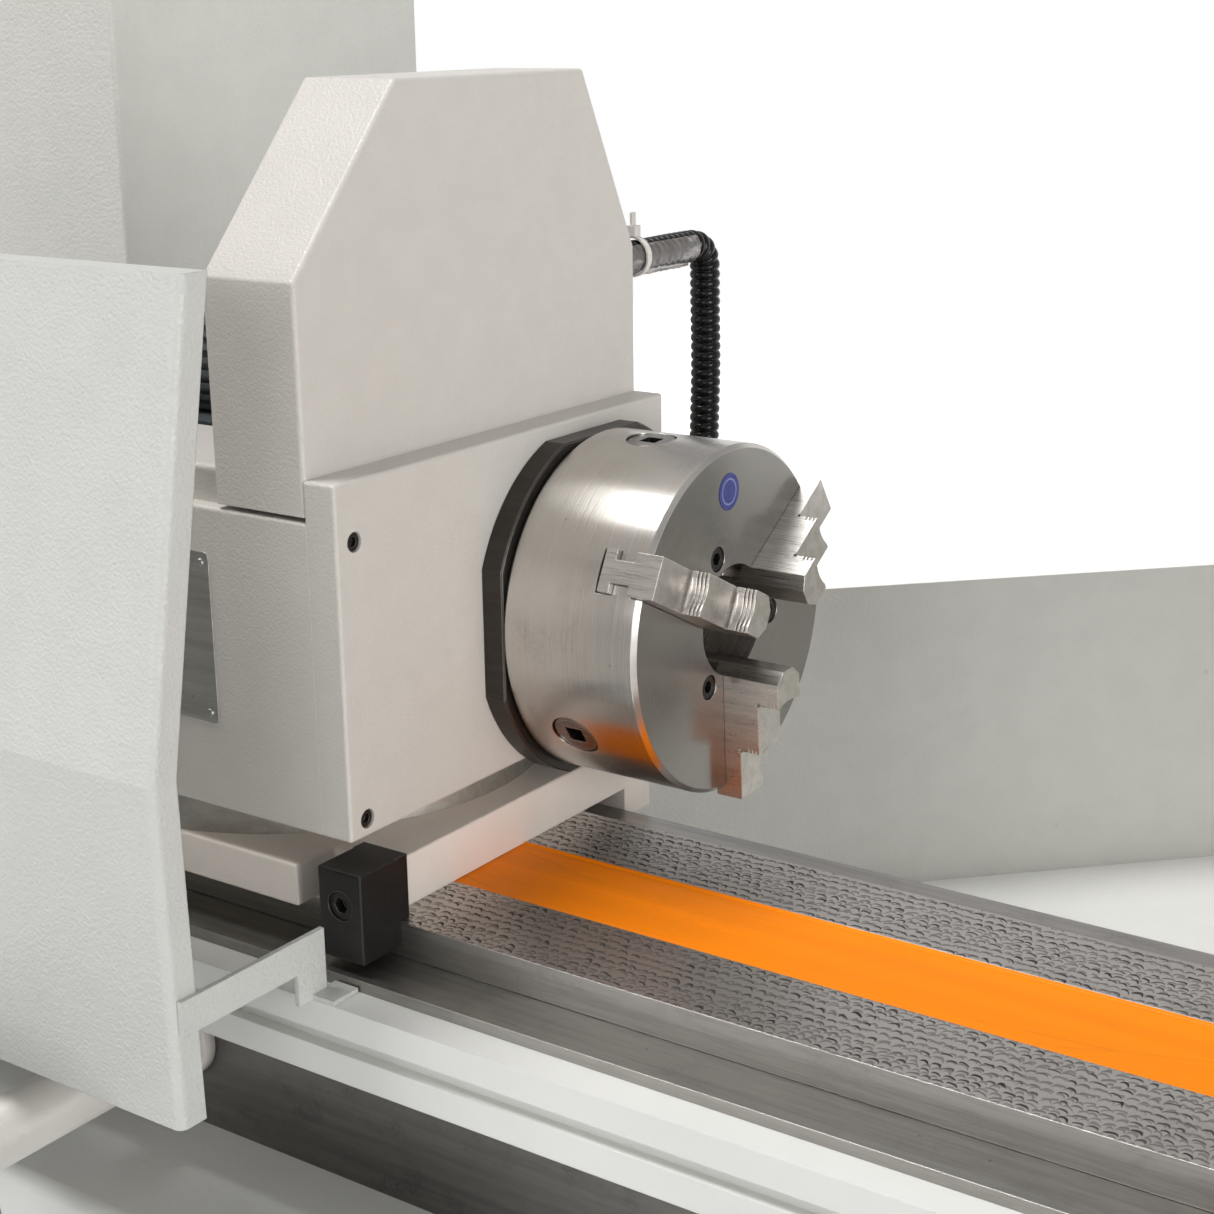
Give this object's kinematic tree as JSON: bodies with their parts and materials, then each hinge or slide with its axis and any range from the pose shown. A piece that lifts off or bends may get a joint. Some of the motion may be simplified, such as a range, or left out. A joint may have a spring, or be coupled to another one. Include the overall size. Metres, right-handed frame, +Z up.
{
  "type": "cylindrical grinding machine",
  "caption": "Cylindrical grinding machine with a three-jaw chuck on a swivelling workhead, a sliding table, a tailstock and a wheelhead.",
  "frame": {"origin": "on the floor under the middle of the machine's box", "axes": "+X along the workhead spindle out of the chuck, +Y to the rear, +Z up"},
  "size_m": [2.469, 1.0788, 1.46],
  "materials": {
    "painted_casting": "pebbled enamel",
    "painted_sheet": "pebbled enamel",
    "turned_steel": "satin turned",
    "ground_steel": "ground",
    "scraped_steel": "scraped",
    "black_steel": "blackened",
    "bare_plate": "brushed",
    "motor_paint": "painted",
    "rubber_belt": "matte",
    "hose_plastic": "semi gloss",
    "clear_film": "clear gloss",
    "tie_plastic": "natural nylon",
    "abrasive": "grainy",
    "bright_chrome": "chromed",
    "green_plastic": "semi gloss",
    "red_plastic": "semi gloss"
  },
  "bodies": {
    "frame": {"bed": "painted_casting", "bed_ways": "ground_steel", "splash_wall": "painted_sheet", "electric_cabinet": "painted_sheet", "wheelhead_base": "painted_casting", "control_panel": "painted_sheet"},
    "table": {"lower_table": "ground_steel", "front_rail": "painted_sheet", "table_rack": "ground_steel", "splash_guard": "painted_sheet", "guard_arms": "painted_sheet"},
    "upper_table": {"swivel_table": "scraped_steel", "workhead_base": "painted_casting", "swivel_ring": "ground_steel", "clamp_block": "black_steel", "clamp_screw": "black_steel", "tailstock_body": "painted_casting"},
    "head": {"workhead_casting": "painted_casting", "front_plate": "painted_casting", "front_plate_screws": "black_steel", "belt_cover": "painted_sheet", "name_plate": "bare_plate", "workhead_motor": "motor_paint", "spindle_bearings": "ground_steel", "workhead_belt": "rubber_belt", "motor_hose": "hose_plastic", "hose_sleeve": "clear_film", "cable_tie": "tie_plastic"},
    "spindle": {"workhead_spindle": "ground_steel", "backplate": "black_steel", "chuck_body": "turned_steel", "pinion_collars": "black_steel", "chuck_face_screws": "black_steel", "spindle_pulley": "ground_steel"},
    "scroll": {"scroll_plate": "turned_steel"},
    "jaw_1": {"chuck_jaw_1": "ground_steel"},
    "jaw_2": {"chuck_jaw_2": "ground_steel"},
    "jaw_3": {"chuck_jaw_3": "ground_steel"},
    "pinion_1": {"chuck_pinion_1": "black_steel"},
    "pinion_2": {"chuck_pinion_2": "black_steel"},
    "pinion_3": {"chuck_pinion_3": "black_steel"},
    "motor_rotor": {"motor_pulley": "ground_steel"},
    "handwheel": {"pinion_shaft": "ground_steel", "table_handwheel": "bright_chrome"},
    "wheelhead": {"wheelhead_body": "painted_casting", "wheel_guard": "painted_sheet", "wheel_motor": "motor_paint", "wheel_belt": "rubber_belt", "wheel_belt_cover": "painted_sheet"},
    "wheel": {"grinding_wheel": "abrasive", "wheel_flanges": "ground_steel", "wheel_spindle": "ground_steel"},
    "wheel_motor_rotor": {"wheel_motor_pulley": "ground_steel"},
    "feed_handwheel": {"crossfeed_handwheel": "bright_chrome"},
    "quill": {"tailstock_quill": "ground_steel", "tailstock_centre": "bright_chrome"},
    "tail_lever": {"tailstock_lever": "bright_chrome"},
    "door": {"cabinet_door": "painted_sheet"},
    "start": {"start_button": "green_plastic"},
    "stop": {"stop_button": "red_plastic"}
  },
  "joints": [
    {"name": "table_traverse", "type": "slide", "parent": "frame", "child": "table", "axis": [1, 0, 0], "range_m": [-0.25, 0.25]},
    {"name": "table_swivel", "type": "hinge", "parent": "table", "child": "upper_table", "pos_m": [0.1345, -0.1686, 0.924], "axis": [0, 0, 1], "range_deg": [-3, 1.5]},
    {"name": "workhead_swivel", "type": "hinge", "parent": "upper_table", "child": "head", "pos_m": [-0.3825, -0.1356, 0.975], "axis": [0, 0, 1], "range_deg": [0, 90]},
    {"name": "spindle_rotation", "type": "hinge", "parent": "head", "child": "spindle", "pos_m": [-0.2105, -0.0706, 1.06], "axis": [1, 0, 0], "continuous": true},
    {"name": "scroll_turn", "type": "hinge", "parent": "spindle", "child": "scroll", "pos_m": [-0.1425, -0.0706, 1.06], "axis": [1, 0, 0], "range_deg": [-270, 450]},
    {"name": "jaw_1_slide", "type": "slide", "parent": "spindle", "child": "jaw_1", "axis": [0, 0.8387, 0.5446], "range_m": [-0.0061, 0.0101]},
    {"name": "jaw_2_slide", "type": "slide", "parent": "spindle", "child": "jaw_2", "axis": [0, -0.891, 0.454], "range_m": [-0.0061, 0.0101]},
    {"name": "jaw_3_slide", "type": "slide", "parent": "spindle", "child": "jaw_3", "axis": [0, 0.0523, -0.9986], "range_m": [-0.0061, 0.0101]},
    {"name": "pinion_1_turn", "type": "hinge", "parent": "spindle", "child": "pinion_1", "pos_m": [-0.1615, -0.07484, 1.14089], "axis": [0, -0.0523, 0.9986], "range_deg": [-2030, 1220]},
    {"name": "pinion_2_turn", "type": "hinge", "parent": "spindle", "child": "pinion_2", "pos_m": [-0.1615, -0.13853, 1.01588], "axis": [0, -0.8387, -0.5446], "range_deg": [-2030, 1220]},
    {"name": "pinion_3_turn", "type": "hinge", "parent": "spindle", "child": "pinion_3", "pos_m": [-0.1615, 0.00157, 1.02323], "axis": [0, 0.891, -0.454], "range_deg": [-2030, 1220]},
    {"name": "motor_rotation", "type": "hinge", "parent": "head", "child": "motor_rotor", "pos_m": [-0.2605, -0.1346, 1.192], "axis": [1, 0, 0], "continuous": true},
    {"name": "table_handwheel_turn", "type": "hinge", "parent": "frame", "child": "handwheel", "pos_m": [-0.3655, -0.4786, 0.81595], "axis": [0, 1, 0], "range_deg": [-600, 600]},
    {"name": "wheelhead_feed", "type": "slide", "parent": "frame", "child": "wheelhead", "axis": [0, -1, 0], "range_m": [0, 0.1]},
    {"name": "wheel_rotation", "type": "hinge", "parent": "wheelhead", "child": "wheel", "pos_m": [0.2645, 0.2144, 1.06], "axis": [1, 0, 0], "continuous": true},
    {"name": "wheel_motor_rotation", "type": "hinge", "parent": "wheelhead", "child": "wheel_motor_rotor", "pos_m": [0.5895, 0.3294, 1.275], "axis": [1, 0, 0], "continuous": true},
    {"name": "crossfeed_handwheel_turn", "type": "hinge", "parent": "frame", "child": "feed_handwheel", "pos_m": [0.4645, -0.4786, 0.815], "axis": [0, 1, 0], "range_deg": [-10, 7210]},
    {"name": "tailstock_quill_slide", "type": "slide", "parent": "upper_table", "child": "quill", "axis": [1, 0, 0], "range_m": [0, 0.03]},
    {"name": "tailstock_lever_turn", "type": "hinge", "parent": "upper_table", "child": "tail_lever", "pos_m": [0.7155, -0.1256, 1.036], "axis": [0, 1, 0], "range_deg": [-1, 52]},
    {"name": "cabinet_door_swing", "type": "hinge", "parent": "frame", "child": "door", "pos_m": [-1.1908, 0.4964, 0.73], "axis": [0, 0, -1], "range_deg": [0, 110]},
    {"name": "start_button_press", "type": "slide", "parent": "frame", "child": "start", "axis": [0, 1, 0], "range_m": [0, 0.004], "stiffness_N_per_m": 600, "springref_m": -0.002},
    {"name": "stop_button_press", "type": "slide", "parent": "frame", "child": "stop", "axis": [0, 1, 0], "range_m": [0, 0.004], "stiffness_N_per_m": 800, "springref_m": -0.002}
  ],
  "couplings": [
    {"joint": "jaw_1_slide", "follows": "scroll_turn", "m_per_rad": 0.0012732},
    {"joint": "jaw_2_slide", "follows": "scroll_turn", "m_per_rad": 0.0012732},
    {"joint": "jaw_3_slide", "follows": "scroll_turn", "m_per_rad": 0.0012732},
    {"joint": "pinion_1_turn", "follows": "scroll_turn", "ratio": -4.5},
    {"joint": "pinion_2_turn", "follows": "scroll_turn", "ratio": -4.5},
    {"joint": "pinion_3_turn", "follows": "scroll_turn", "ratio": -4.5},
    {"joint": "motor_rotation", "follows": "spindle_rotation", "ratio": 2},
    {"joint": "table_handwheel_turn", "follows": "table_traverse", "rad_per_m": 41.667},
    {"joint": "wheel_motor_rotation", "follows": "wheel_rotation", "ratio": 1},
    {"joint": "crossfeed_handwheel_turn", "follows": "wheelhead_feed", "rad_per_m": 1256.6},
    {"joint": "tailstock_lever_turn", "follows": "tailstock_quill_slide", "rad_per_m": 30}
  ]
}
